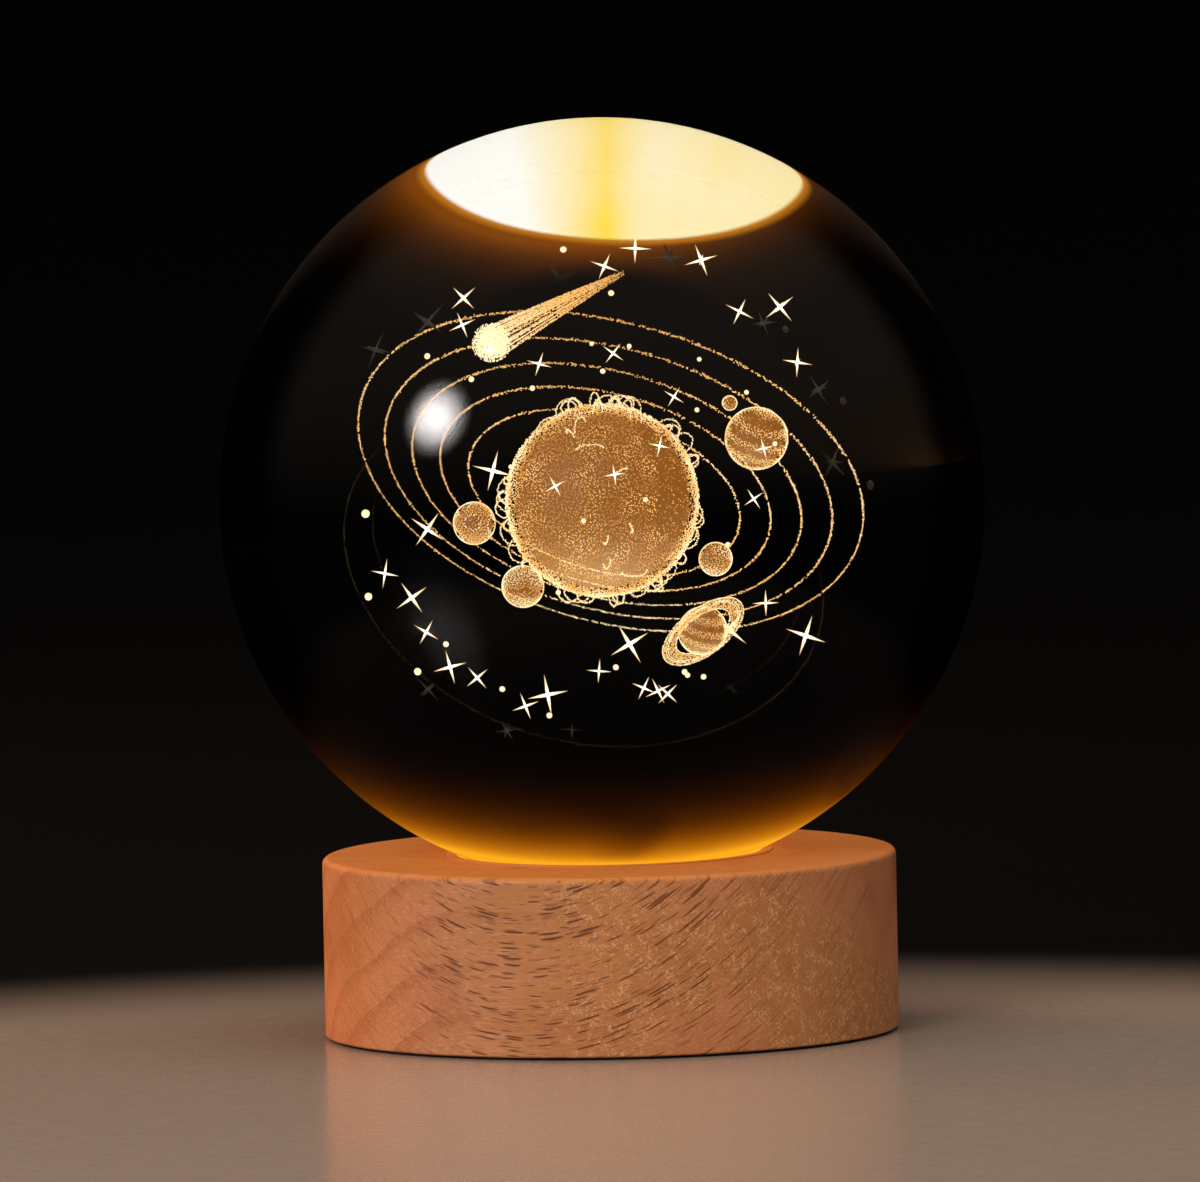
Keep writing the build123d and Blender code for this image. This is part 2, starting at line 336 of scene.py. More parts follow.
def mesh_object(name: str, corners: np.ndarray, faces: np.ndarray, smooth: bool) -> bpy.types.Object:
    """Makes a mesh object from whole arrays.

    Args:
        name: Name of the object.
        corners: Vertex places, a row of three numbers each.
        faces: Vertex numbers, a row of three to a face.
        smooth: Whether the faces are shaded smooth.

    Returns:
        The object, in the scene, at the origin.
    """
    mesh = bpy.data.meshes.new(name)
    count, sides = faces.shape
    mesh.vertices.add(len(corners))
    mesh.vertices.foreach_set("co", corners.astype(np.float32).ravel())
    mesh.loops.add(count * sides)
    mesh.loops.foreach_set("vertex_index", faces.astype(np.int32).ravel())
    mesh.polygons.add(count)
    mesh.polygons.foreach_set("loop_start", np.arange(0, count * sides, sides, dtype=np.int32))
    mesh.polygons.foreach_set("use_smooth", np.full(count, smooth))
    mesh.update(calc_edges=True)
    made = bpy.data.objects.new(name, mesh)
    bpy.context.scene.collection.objects.link(made)
    return made


def unit_ball(rows: int, columns: int) -> tuple[np.ndarray, np.ndarray]:
    """A closed sphere of radius 1: at angle a from the bottom and turn t, (sin a cos t, sin a sin t, -cos a).

    Args:
        rows: Rings of vertices between the poles.
        columns: Vertices round each ring.

    Returns:
        Its vertex places and its triangles, which face outwards.
    """
    angle = np.linspace(0.0, pi, rows + 2)[1:-1, None]
    turn = np.linspace(0.0, 2.0 * pi, columns, endpoint=False)[None, :]
    rings = np.stack([np.sin(angle) * np.cos(turn), np.sin(angle) * np.sin(turn),
                      -np.cos(angle) * np.ones_like(turn)], axis=-1)
    corners = np.concatenate([rings.reshape(-1, 3), [[0, 0, -1], [0, 0, 1]]])
    row, column = np.meshgrid(np.arange(rows - 1), np.arange(columns), indexing="ij")
    here, after = row * columns + column, row * columns + (column + 1) % columns
    quads = np.stack([here, after, after + columns, here + columns], axis=-1).reshape(-1, 4)
    first = np.arange(columns)
    after = (first + 1) % columns
    last = (rows - 1) * columns
    bottom = np.stack([after, first, np.full(columns, rows * columns)], axis=-1)
    top = np.stack([last + first, last + after, np.full(columns, rows * columns + 1)], axis=-1)
    return corners, np.concatenate([quads[:, [0, 1, 2]], quads[:, [0, 2, 3]], bottom, top])


def copies(corners: np.ndarray, faces: np.ndarray) -> tuple[np.ndarray, np.ndarray]:
    """Joins many copies of one shape into a single mesh.

    Args:
        corners: Vertex places, as copies by vertices by three.
        faces: The triangles of one copy.

    Returns:
        The vertex places in one list, and the triangles of all copies.
    """
    count, each = corners.shape[:2]
    shifted = faces[None] + each * np.arange(count)[:, None, None]
    return corners.reshape(-1, 3), shifted.reshape(-1, 3)


def set_glow(piece: bpy.types.Object, glow: np.ndarray) -> None:
    """Keeps a number from 0 to 1 at each vertex, which the engraving's finish reads."""
    kept = piece.data.attributes.new("glow", "FLOAT", "POINT")
    kept.data.foreach_set("value", np.clip(glow, 0.0, 1.0).astype(np.float32))


def scattered_ways(count: int, dice: np.random.Generator) -> np.ndarray:
    """Directions over a sphere: heights step evenly, turns by the golden angle, and each is nudged at random.

    Args:
        count: How many.
        dice: Source of the nudges.

    Returns:
        The directions, a row each, of length 1.
    """
    step = np.arange(count) + 0.5
    height = 1.0 - 2.0 * step / count
    turn = step * GOLDEN_ANGLE
    flat = np.sqrt(1.0 - height**2)
    ways = np.stack([flat * np.cos(turn), flat * np.sin(turn), height], axis=-1)
    return unit(ways + dice.normal(scale=WAY_NUDGE / sqrt(count), size=ways.shape))


def unit(vectors: np.ndarray) -> np.ndarray:
    """Vectors brought to length 1."""
    return vectors / np.linalg.norm(vectors, axis=-1, keepdims=True)


def ripple(points: np.ndarray, reach: float, dice: np.random.Generator) -> np.ndarray:
    """A smooth pattern from about -1 to 1: twice the mean of eight sine waves that run in random directions.

    Args:
        points: Places, a row each.
        reach: Distance over which the pattern changes.
        dice: Source of the directions and phases.

    Returns:
        A number for each point.
    """
    ways = unit(dice.normal(size=(RIPPLE_WAVES, 3))) * dice.uniform(*RIPPLE_PITCH, (RIPPLE_WAVES, 1)) / reach
    return np.sin(points @ ways.T + dice.uniform(0.0, 2.0 * pi, RIPPLE_WAVES)).mean(axis=1) * 2.0


Hearts = tuple[tuple[np.ndarray, float], ...]


@dataclass
class Cracks:
    """A cloud of tiny cracks in the glass, each an eight-sided grain with its own size and glow."""

    places: np.ndarray
    size: np.ndarray
    glow: np.ndarray

    @staticmethod
    def of(places: np.ndarray, size: Any, glow: Any) -> "Cracks":
        """Makes a cloud in which size and glow may be single numbers."""
        count = len(places)
        return Cracks(places, np.broadcast_to(size, count), np.broadcast_to(glow, count))

    @staticmethod
    def joined(clouds: list["Cracks"]) -> "Cracks":
        """Puts clouds together."""
        return Cracks(*(np.concatenate([getattr(cloud, part) for cloud in clouds])
                        for part in ("places", "size", "glow")))

    def kept(self, mask: np.ndarray) -> "Cracks":
        """The cracks where the mask is true."""
        return Cracks(self.places[mask], self.size[mask], self.glow[mask])

    def build(self, name: str, hearts: Hearts = ()) -> bpy.types.Object:
        """Makes the mesh: each grain has a tip at its place plus and minus its size along X, Y and Z.

        Args:
            name: Name of the object.
            hearts: Middle and radius of each closed ball of duller, finer cracks behind the grains.

        Returns:
            The object.
        """
        corners = self.places[:, None, :] + EIGHT_TIPS[None] * self.size[:, None, None]
        corners, faces = copies(corners, EIGHT_SIDES)
        glow = np.repeat(np.maximum(self.glow, FAINTEST_GRAIN), len(EIGHT_TIPS))
        if hearts:
            ball, sides = unit_ball(HEART_ROWS, HEART_COLUMNS)
            balls = np.stack([middle + ball * radius for middle, radius in hearts])
            more, more_faces = copies(balls, sides)
            faces = np.concatenate([faces, more_faces + len(corners)])
            corners = np.concatenate([corners, more])
            glow = np.concatenate([glow, np.zeros(len(more))])
        made = mesh_object(name, corners, faces, smooth=False)
        set_glow(made, glow)
        return made


# Finishes


def darker(colour: Colour) -> Colour:
    """The darker shade that a finish's grain or cloud adds to its colour."""
    return tuple(part * 0.85 for part in colour)


@dataclass(frozen=True)
class CrystalFinish:
    """Clear polished glass, with the lamps' light in its lowest part painted on as a glow.

    From outside, the cap over the seat has a painted amber glow that fades upwards. Its inner side has the lit well
    painted on as a cream glow with a gold band across the middle and one side, and the back of the ball turns a
    small share of that back inside, as the bright pool at the top. Painted shade darkens the inner side of the lower
    half and the outermost edge, so that little shows through there. Heights and places across are shares of the
    radius, from the ball's middle.
    """

    refraction: float = 1.52
    clearness: float = 0.6
    amber: Colour = (1.0, 0.42, 0.012)
    deep_amber: Colour = (1.0, 0.22, 0.002)
    amber_full: float = -0.921
    amber_fall: float = 0.042
    amber_cap: float = 1.25
    amber_limb: float = 0.22
    amber_share: float = 0.8
    cloud_scale: float = 70.0
    cloud_loss: tuple[float, float, float] = (0.5, 0.75, 0.5)
    cream: Colour = (10.0, 9.9, 9.1)
    gold: Colour = (10.0, 7.3, 0.9)
    rim: Colour = (5.0, 1.7, 0.06)
    ember: Colour = (2.0, 0.5, 0.005)
    ember_fall: float = 0.034
    pool_edge: tuple[float, float] = (-0.86, -0.868)
    rim_edge: tuple[float, float] = (-0.847, -0.862)
    pool_lean: float = 0.05
    pool_bow: float = 0.07
    warm_place: float = -0.03
    warm_width: float = 0.27
    warm_side: tuple[float, float, float] = (-0.12, -0.35, 0.6)
    warm_cloud: float = 0.5
    turned_share: float = 0.1
    turned_slant: tuple[float, float] = (0.072, 0.092)
    turned_top: tuple[float, float] = (0.4, 0.25)
    turned_foot: tuple[float, float] = (-0.75, -0.6)
    painted_shade: float = 0.93
    painted_shade_edge: tuple[float, float] = (-0.2, -0.5)
    limb_slant: tuple[float, float] = (0.16, 0.2)
    shine: float = 0.2
    shine_low: float = 0.06
    shine_fade: tuple[float, float] = (-0.1, -0.5)
    shade_tint: Colour = (0.9, 0.9, 0.9)

    def make(self, centre: Vector, radius: float) -> bpy.types.Material:
        """Builds the material.

        Args:
            centre: Middle of the ball.
            radius: Radius of the ball.

        Returns:
            The glass.
        """
        r = Recipe("crystal")
        x, _, z = r.axes(r.place())
        height = (z - centre.z) / radius
        slant = r.node("ShaderNodeLayerWeight", inputs={"Blend": 0.5}, output="Facing")
        cloud = r.noise(r.place(), self.cloud_scale, 1.0)
        # Painted light: the amber glow of the lamps' light on the cap over the seat, fading upwards and reaching
        # higher towards the ball's edge.
        limb = (1.0 - height * height - (1.0 - slant) ** 2.0).largest(0.0) * self.amber_limb
        rise = ((self.amber_full - height + limb) / self.amber_fall).grown().smaller(self.amber_cap)
        rise = rise * (1.0 - cloud.layer(*self.cloud_loss)) * self.amber_share
        outside = r.scaled(r.blend(rise, self.deep_amber, self.amber), rise)
        # Painted light: the lit well's cream and gold glow on the inner side, with a painted ember halo below its
        # rim.
        across = x / radius
        leaning = height + across * (self.pool_lean - across * self.pool_bow)
        warm = across.near(self.warm_place, self.warm_width) + across.layer(*self.warm_side)
        pool = r.blend((warm + (cloud - 0.5) * self.warm_cloud).clipped(), self.cream, self.gold)
        halo = r.scaled(self.ember, ((self.rim_edge[0] - height) / self.ember_fall).grown().smaller(1.0))
        lit = r.blend(leaning.step(*self.rim_edge), halo, self.rim)
        inside = r.blend(leaning.step(*self.pool_edge), lit, pool)
        inner = r.node("ShaderNodeNewGeometry", output="Backfacing")
        # The glass is no lamp: this emission is painted light, amber outside and the lit well inside.
        light = r.surface(Base_Color=BLACK, Specular_IOR_Level=0.0, Roughness=1.0,
                          Emission_Color=r.blend(inner, outside, inside), Emission_Strength=1.0)
        dark = r.surface(Base_Color=BLACK, Specular_IOR_Level=0.0, Roughness=1.0)
        glass = r.surface(Base_Color=WHITE, Roughness=0.0, IOR=self.refraction, Transmission_Weight=1.0)
        bent = r.node("ShaderNodeBsdfRefraction", inputs={
            "Color": WHITE, "Roughness": 0.0, "IOR": self.refraction})
        shine = height.step(*self.shine_fade) * (self.shine_low - self.shine) + self.shine
        glass = r.mixed((1.0 - inner) * shine, bent, glass)
        # Painted shade: a dark surface over the inner side of the lower half and the outermost edge.
        painted_shade_share = height.step(*self.painted_shade_edge).largest(slant.step(*self.limb_slant)) * self.painted_shade
        glass = r.mixed(inner * painted_shade_share, glass, dark)
        band = height.step(*self.turned_top) * height.step(*self.turned_foot)
        turned = slant.step(*self.turned_slant) * band * inner * self.turned_share
        mirror = r.node("ShaderNodeBsdfGlossy", inputs={"Color": WHITE, "Roughness": 0.0})
        glass = r.added(r.mixed(turned, glass, mirror), light)
        clear = r.node("ShaderNodeBsdfTransparent", inputs={"Color": self.shade_tint})
        shade = r.node("ShaderNodeLightPath", output="Is Shadow Ray")
        return r.finish(r.mixed(shade * self.clearness, glass, clear))


@dataclass(frozen=True)
class EngravingFinish:
    """Tiny cracks whose scattering of the warm light from below is painted on as a glow: amber where they glow
    least, pale gold where most.

    Where the kept glow is 0, behind the grains, a fill of finer cracks glows a dull brown.
    """

    name: str = "engraved_cracks"
    dim: Colour = (0.55, 0.205, 0.038)
    middle: Colour = (1.15, 0.6, 0.17)
    bright: Colour = (1.35, 1.12, 0.66)
    fill: Colour = (0.27, 0.088, 0.011)
    unlit: Colour = (0.05, 0.035, 0.02)
    dim_edge: tuple[float, float] = (0.0, 0.55)
    bright_edge: tuple[float, float] = (0.45, 1.0)
    mirrored_loss: float = 0.85

    def make(self) -> bpy.types.Material:
        """Builds the material from the glow that each piece keeps."""
        r = Recipe(self.name)
        glow = r.node("ShaderNodeAttribute", {"attribute_name": "glow"}, output="Fac")
        # Painted light: the cracks are no lamp, and this emission stands for the lamps' light that they scatter.
        colour = r.blend(glow.step(*self.dim_edge), self.dim, self.middle)
        colour = r.blend(glow.step(*self.bright_edge), colour, self.bright)
        colour = r.blend(glow.step(0.0, FAINTEST_GRAIN), self.fill, colour)
        mirrored = r.node("ShaderNodeLightPath", output="Is Reflection Ray")
        colour = r.scaled(colour, 1.0 - mirrored * self.mirrored_loss)
        return r.finish(r.surface(Base_Color=self.unlit, Roughness=0.7, Emission_Color=colour,
                                  Emission_Strength=1.0))


@dataclass(frozen=True)
class LitFinish:
    """Something pale that glows with the lamps' light, slightly cloudy."""

    name: str
    colour: Colour
    strength: float
    unlit: Colour = (0.7, 0.6, 0.45)
    grain: float = 600.0
    cloud_edge: tuple[float, float] = (0.35, 0.65)

    def make(self) -> bpy.types.Material:
        """Builds the material."""
        r = Recipe(self.name)
        cloud = r.noise(r.place(), self.grain, 3.0)
        colour = r.blend(cloud.step(*self.cloud_edge), darker(self.colour), self.colour)
        return r.finish(r.surface(Base_Color=self.unlit, Roughness=0.5, Emission_Color=colour,
                                  Emission_Strength=self.strength))


@dataclass(frozen=True)
class SiliconeFinish:
    """The clear seat ring, with the light from the well painted on as a glow that fills its inner lip and fades
    outwards.
    """

    body: Colour = (0.52, 0.2, 0.06)
    lip: Colour = (1.0, 0.44, 0.016)
    edge: Colour = (0.05, 0.01, 0.0)
    lip_start: float = 0.9 * MM
    lip_full: float = 1.7 * 0.9 * MM

    def make(self, radius: float) -> bpy.types.Material:
        """Builds the material.

        Args:
            radius: Outer radius of the ring.

        Returns:
            The silicone.
        """
        r = Recipe("lit_silicone")
        # Painted light: the ring's glow, bright at the inner lip and faint at the outer edge.
        lip = r.from_axis().step(radius - self.lip_start, radius - self.lip_full)
        return r.finish(r.surface(Base_Color=self.body, Roughness=0.55,
                                  Emission_Color=r.blend(lip, self.edge, self.lip), Emission_Strength=1.0))


@dataclass(frozen=True)
class BeechFinish:
    """Oiled beech as a solid block: what a face shows follows from how it cuts the block.

    The fibres run along X and the growth rings are tubes round a heart that also runs along X, in front of the
    base and below it. The rays are flat lens shapes that point away from the heart: short dark dashes on the
    front, and thin ticks across the rings on the sides. The right side is sanded paler, with fine squiggles.
    The top face has the warm light from under the ball painted on it, as a warmer tint and a glow that is fainter
    next to the seat. A pair of numbers is where a fade starts and where it is full, and a third is its share.
    """

    salmon: Colour = (0.52, 0.19, 0.075)
    tan: Colour = (0.45, 0.172, 0.055)
    russet: Colour = (0.38, 0.112, 0.036)
    fleck: Colour = (0.12, 0.03, 0.007)
    pale_fleck: Colour = (0.74, 0.41, 0.19)
    painted_top_light: Colour = (0.56, 0.2, 0.05)
    grain_turn: float = radians(18.0)
    heart_y: float = -70.0 * MM
    heart_z: float = -42.0 * MM
    drift_scale: float = 70.0
    ring_gap: float = 4.4 * MM
    ring_drift: float = 3.6 * MM
    late_rise: tuple[float, float] = (0.5, 0.95)
    late_fall: tuple[float, float] = (1.0, 0.96)
    late_fade: tuple[float, float, float] = (-12.0 * MM, -2.0 * MM, 0.7)
    late_share: float = 0.6
    ray_length: float = 3.6 * MM
    ray_width: float = 0.3 * MM
    ray_depth: float = 8.0 * MM
    ray_radius: float = 85.0 * MM
    ray_drift: float = 0.8 * MM
    ray_wander: float = 0.2 * MM
    wander_scale: float = 500.0
    ray_least: float = 0.35
    ray_sharpness: float = 12.0
    long_ray: tuple[float, float] = (1.0, 0.44)
    short_ray: tuple[float, float] = (0.6, 0.42)
    short_ray_shift: float = 5.0 * MM
    short_ray_share: float = 0.6
    rays_left: float = 0.3
    rays_front: tuple[float, float, float] = (-15.0 * MM, -8.0 * MM, 0.6)
    rays_right: tuple[float, float, float] = (3.0 * MM, 10.0 * MM, -0.1)
    rays_far_right: tuple[float, float, float] = (17.0 * MM, 25.0 * MM, -0.5)
    fibre_length: float = 9.0 * MM
    fibre_width: float = 0.24 * MM
    pale_fibre: tuple[float, float, float] = (0.54, 0.7, 0.25)
    dark_fibre: tuple[float, float, float] = (0.46, 0.3, 0.35)
    cloud_scale: float = 75.0
    cloud_stretch: float = 0.6
    tan_cloud: tuple[float, float] = (0.4, 0.6)
    blush_scale: float = 60.0
    blush: tuple[float, float, float] = (0.48, 0.66, 0.7)
    sanded_side: tuple[float, float] = (-2.0 * MM, 9.0 * MM)
    sanded_cloud: tuple[float, float] = (0.42, 0.56)
    squiggle_scale: float = 2000.0
    squiggle_width: float = 0.06
    squiggle_share: float = 0.75
    break_scale: float = 900.0
    break_edge: tuple[float, float] = (0.46, 0.56)
    lid_depth: tuple[float, float] = (0.6 * MM, 0.1 * MM)
    painted_top_light_share: float = 0.55
    glow_near: Colour = (0.04, 0.008, 0.0)
    glow_far: Colour = (0.16, 0.035, 0.0)
    glow_reach: tuple[float, float] = (25.0 * MM, 15.0 * MM)
    relief_depth: float = 0.06 * MM
    relief_fibre: float = 0.4

    def make(self, top: float) -> bpy.types.Material:
        """Builds the material.

        Args:
            top: Height of the base's top face, on which the light from under the ball is painted.

        Returns:
            The wood.
        """
        r = Recipe("beech")
        place = r.node("ShaderNodeMapping", inputs={"Vector": r.place(), "Rotation": (0.0, 0.0, self.grain_turn)})
        x, y, z = r.axes(place)
        drift = r.noise(place, self.drift_scale, 1.0) - 0.5
        back, up = y - self.heart_y, z - self.heart_z
        reach = (back * back + up * up).root() + drift * self.ring_drift
        around = up.turn(back) * self.ray_radius + drift * self.ray_drift
        ring = (reach / self.ring_gap).part()
        late = ring.step(*self.late_rise) * ring.step(*self.late_fall) * (1.0 - x.layer(*self.late_fade))
        fibre = r.noise(r.point(x / self.fibre_length, y / self.fibre_width, z / self.fibre_width), 1.0, 2.0)
        cloud = r.noise(r.point(x * self.cloud_stretch, y, z), self.cloud_scale, 2.0)
        blush = r.noise(r.point(x * self.cloud_stretch, y, z + 1.0), self.blush_scale, 2.0)
        around = around + (r.noise(place, self.wander_scale, 1.0) - 0.5) * self.ray_wander
        long_rays = self.rays(r, x, around, reach, *self.long_ray)
        short_rays = self.rays(r, x + self.short_ray_shift, around, reach, *self.short_ray) * self.short_ray_share
        depth = x.layer(*self.rays_front) + x.layer(*self.rays_right) + x.layer(*self.rays_far_right)
        marks = long_rays.largest(short_rays) * (depth + self.rays_left)
        sanded = x.step(*self.sanded_side) * cloud.step(*self.sanded_cloud)
        broken = r.noise(place, self.break_scale, 1.0).step(*self.break_edge)
        squiggles = r.noise(place, self.squiggle_scale, 1.0).near(0.5, self.squiggle_width) * broken * sanded
        # The top face and its rounded edge, on which the warm light from under the ball is painted.
        lid = z.step(top - self.lid_depth[0], top - self.lid_depth[1])
        colour = r.blend(cloud.step(*self.tan_cloud), self.salmon, self.tan)
        for share, tint in (
            (blush.layer(*self.blush), self.russet),
            (late * self.late_share, self.russet),
            (fibre.layer(*self.pale_fibre), self.pale_fleck),
            (fibre.layer(*self.dark_fibre), self.russet),
            (squiggles * self.squiggle_share, self.pale_fleck),
            (marks, self.fleck),
            (lid * self.painted_top_light_share, self.painted_top_light),
        ):
            colour = r.blend(share, colour, tint)
        # Painted light: the warm light from under the ball as a glow on the top face, fainter next to the seat.
        glow = r.blend(r.from_axis().step(*self.glow_reach), self.glow_far, self.glow_near)
        relief = fibre * self.relief_fibre + (1.0 - marks) * (1.0 - self.relief_fibre)
        return r.finish(r.surface(Base_Color=colour, Roughness=0.5 + fibre * 0.15, Specular_IOR_Level=0.2,
                                  Emission_Color=r.scaled(glow, lid), Emission_Strength=1.0,
                                  Normal=r.bump(relief, self.relief_depth, 0.6)))

    def rays(self, r: Recipe, x: Wire, around: Wire, reach: Wire, scale: float, size: float) -> Wire:
        """Lens-shaped rays, one to a stretched cell.

        Args:
            r: The recipe.
            x: Place along the fibres.
            around: Place along the growth rings.
            reach: Distance from the heart.
            scale: Size of the cells, as a share of the largest.
            size: Half size of the largest ray, as a share of its cell.

        Returns:
            The mask: 1 inside, 0 outside.
        """
        where = r.point(x / (self.ray_length * scale), around / (self.ray_width * scale),
                        reach / (self.ray_depth * scale))
        distance = r.node("ShaderNodeTexVoronoi", inputs={"Vector": where, "Scale": 1.0}, output="Distance")
        chance = r.axes(r.sibling(distance, "Color"))[0]
        half = (chance + self.ray_least) * (size / (1.0 + self.ray_least))
        return ((half - distance) * self.ray_sharpness).clipped()


@dataclass(frozen=True)
class PlainFinish:
    """A moulded, plated or rubber finish with a fine grain."""

    name: str
    colour: Colour
    roughness: float = 0.5
    metal: float = 0.0
    grain: float = 4000.0
    grain_edge: tuple[float, float] = (0.3, 0.7)
    depth: float = 0.01 * MM

    def make(self) -> bpy.types.Material:
        """Builds the material."""
        r = Recipe(self.name)
        grain = r.noise(r.place(), self.grain, 2.0)
        colour = r.blend(grain.step(*self.grain_edge), darker(self.colour), self.colour)
        return r.finish(r.surface(Base_Color=colour, Roughness=grain.about(self.roughness, 0.15),
                                  Metallic=self.metal, Normal=r.bump(grain, self.depth, 0.4)))


# The ball and its engraving


@dataclass
class CrystalBall:
    """The clear ball. The engraved pieces lie inside it, so it has no hollows for them."""

    node: str = "crystal_ball"
    rows: int = 214
    columns: int = 430
    finish: CrystalFinish = field(default_factory=CrystalFinish)

    def build(self) -> bpy.types.Object:
        """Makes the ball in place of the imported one."""
        low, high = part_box(self.node)
        radius = (high.z - low.z) / 2
        centre = Vector((0.0, 0.0, (high.z + low.z) / 2))
        corners, faces = unit_ball(self.rows, self.columns)
        made = mesh_object("clear_ball", corners * radius + np.array(centre), faces, smooth=True)
        dress(made, self.finish.make(centre, radius))
        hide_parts(self.node)
        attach(made, Body.BALL.value)
        return made


@dataclass(frozen=True)
class Planet:
    """A planet: radius of its orbit, its place there in degrees, its own radius and what is engraved on it."""

    distance: float
    turn: float
    radius: float
    face: PlanetFace


@dataclass
class Engraving:
    """The picture in the glass: a sun, planets on tilted orbits, a moon, a ring, a comet and stars.

    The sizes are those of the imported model's engraved zones. Angles are in degrees, and a glow lies between 0
    and 1. Each cloud of cracks draws its random numbers from a source of its own.
    """

    grain: float = 0.055 * MM
    fine_grain: float = 0.045 * MM
    line_glow: float = 0.85
    rim_width: float = 0.35
    warm_height: float = 38.0 * MM
    shell_share: float = 0.88
    sun_heart: float = 0.9
    sun_grains: int = 15000
    sun_depth: float = 0.97
    sun_glow: tuple[float, float, float, float] = (0.05, 0.3, 0.35, 0.6)
    sun_patch: float = 0.07
    spot_size: float = 0.3
    spot_edge: float = -0.75
    spot_grains: float = 0.3
    arch_count: int = 64
    arch_grains: int = 60
    arch_height: tuple[float, float] = (0.45, 1.0)
    arch_width: tuple[float, float] = (0.3, 1.1)
    arch_lean: tuple[float, float] = (0.2, 1.2)
    arch_glow: float = 0.75
    arch_blur: float = 0.03 * MM
    orbit_tilt: float = 30.0
    orbit_roll: float = 14.0
    orbit_grains: float = 120.0
    orbit_gap: float = 0.25 * MM
    orbit_glow: tuple[float, float, float] = (0.3, 0.45, 0.15)
    orbit_blur: float = 0.035 * MM
    planets: tuple[Planet, ...] = (
        Planet(9.6 * MM, 330.0, 1.2 * MM, PlanetFace.CLOUDS),
        Planet(11.7 * MM, 212.0, 1.6 * MM, PlanetFace.CRATERS),
        Planet(13.8 * MM, 45.0, 1.9 * MM, PlanetFace.BANDS),
        Planet(15.9 * MM, 245.0, 1.7 * MM, PlanetFace.CLOUDS),
        Planet(18.0 * MM, 297.0, 2.0 * MM, PlanetFace.BANDS),
    )
    planet_heart: float = 0.88
    planet_grains: float = 62.0
    planet_glow: tuple[float, float, float, float] = (0.15, 0.5, 0.2, 0.25)
    planet_pole: tuple[float, float, float] = (0.35, -0.25, 0.9)
    band_pitch: float = 13.0
    band_ripple: tuple[float, float] = (0.6, 0.5)
    band_edge: float = -0.2
    band_grains: float = 0.25
    band_glow: float = 0.25
    crater_count: int = 13
    crater_edge: float = 0.34
    crater_grains: float = 0.3
    crater_rim: tuple[float, float] = (0.37, 0.07)
    crater_glow: float = 0.55
    cover_size: float = 0.28
    cover_edge: tuple[float, float] = (-0.15, 0.25)
    cover_grains: float = 0.35
    cover_glow: float = 0.35
    edge_grains: float = 90.0
    moon_radius: float = 0.45 * MM
    moon_distance: float = 2.9 * MM
    moon_bearing: tuple[float, float, float] = (-0.5, -0.3, 0.8)
    ring_inner: float = 2.6 * MM
    ring_outer: float = 3.9 * MM
    ring_thickness: float = 0.2 * MM
    ring_tilt: float = -30.0
    ring_roll: float = -33.0
    ring_grains: int = 2600
    ring_gap: tuple[float, float] = (0.865, 0.915)
    ring_lines: tuple[float, float] = (0.87, 0.91)
    ring_line_grains: int = 420
    ring_lift: float = 0.3
    ring_glow: float = 0.5
    comet_distance: float = 14.5 * MM
    comet_turn: float = 160.0
    comet_climb: float = 40.0
    comet_bearing: tuple[float, float, float] = (0.9, 0.2, 0.42)
    comet_head: float = 1.5 * MM
    comet_tail: float = 1.4 * MM
    comet_tail_end: float = 0.15 * MM
    comet_length: float = 11.0 * MM
    comet_grains: tuple[int, int] = (2200, 5600)
    comet_streaks: int = 46
    comet_glow: tuple[float, float, float] = (0.9, 0.8, 0.55)
    comet_blur: float = 0.02 * MM
    star_count: int = 34
    star_arm: float = 1.25 * MM
    star_least: float = 0.72
    star_heart: float = 0.19
    star_girdle: tuple[float, float] = (0.2, 0.08)
    star_glow: tuple[float, float, float] = (0.75, 0.1, 1.0)
    star_nearest: float = 13.5 * MM
    star_farthest: float = 19.0 * MM
    dot_count: int = 30
    dot_radius: float = 0.25 * MM
    dot_nearest: float = 10.5 * MM
    dot_farthest: float = 19.0 * MM
    dot_first_turn: float = 119.0
    dot_least: float = 0.6
    dot_glow: float = 0.45
    least_climb: float = 24.0
    most_climb: float = 80.0
    middle: np.ndarray = field(init=False)
    sun_radius: float = field(init=False)
    sun_shell: float = field(init=False)
    plane: np.ndarray = field(init=False)

    def __post_init__(self) -> None:
        """Reads the picture's middle and the sun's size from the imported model, and turns the orbit plane."""
        low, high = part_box("engraved_sun")
        self.middle = np.array((low + high) / 2)
        self.sun_radius = (high.x - low.x) / 2
        self.sun_shell = self.sun_radius * self.shell_share
        self.plane = self.turned(self.orbit_tilt, self.orbit_roll)

    @staticmethod
    def turned(tilt: float, roll: float) -> np.ndarray:
        """A rotation by tilt degrees about X after roll degrees about Y."""
        return np.array(Matrix.Rotation(radians(tilt), 3, "X") @ Matrix.Rotation(radians(roll), 3, "Y"))

    def orbit_point(self, distance: Any, turn: Any, climb: Any = 0.0) -> np.ndarray:
        """Points round the sun, in the frame of the orbit plane.

        Args:
            distance: Distance from the sun's middle.
            turn: Turn along the orbit plane, in degrees.
            climb: Climb out of the orbit plane, in degrees.

        Returns:
            Their places, a row each, or one place where all three are single numbers.
        """
        distance, turn, climb = np.broadcast_arrays(distance, np.radians(turn), np.radians(climb))
        local = np.stack([np.cos(climb) * np.cos(turn), np.cos(climb) * np.sin(turn), np.sin(climb)], axis=-1)
        return self.middle + (local * distance[..., None]) @ self.plane.T

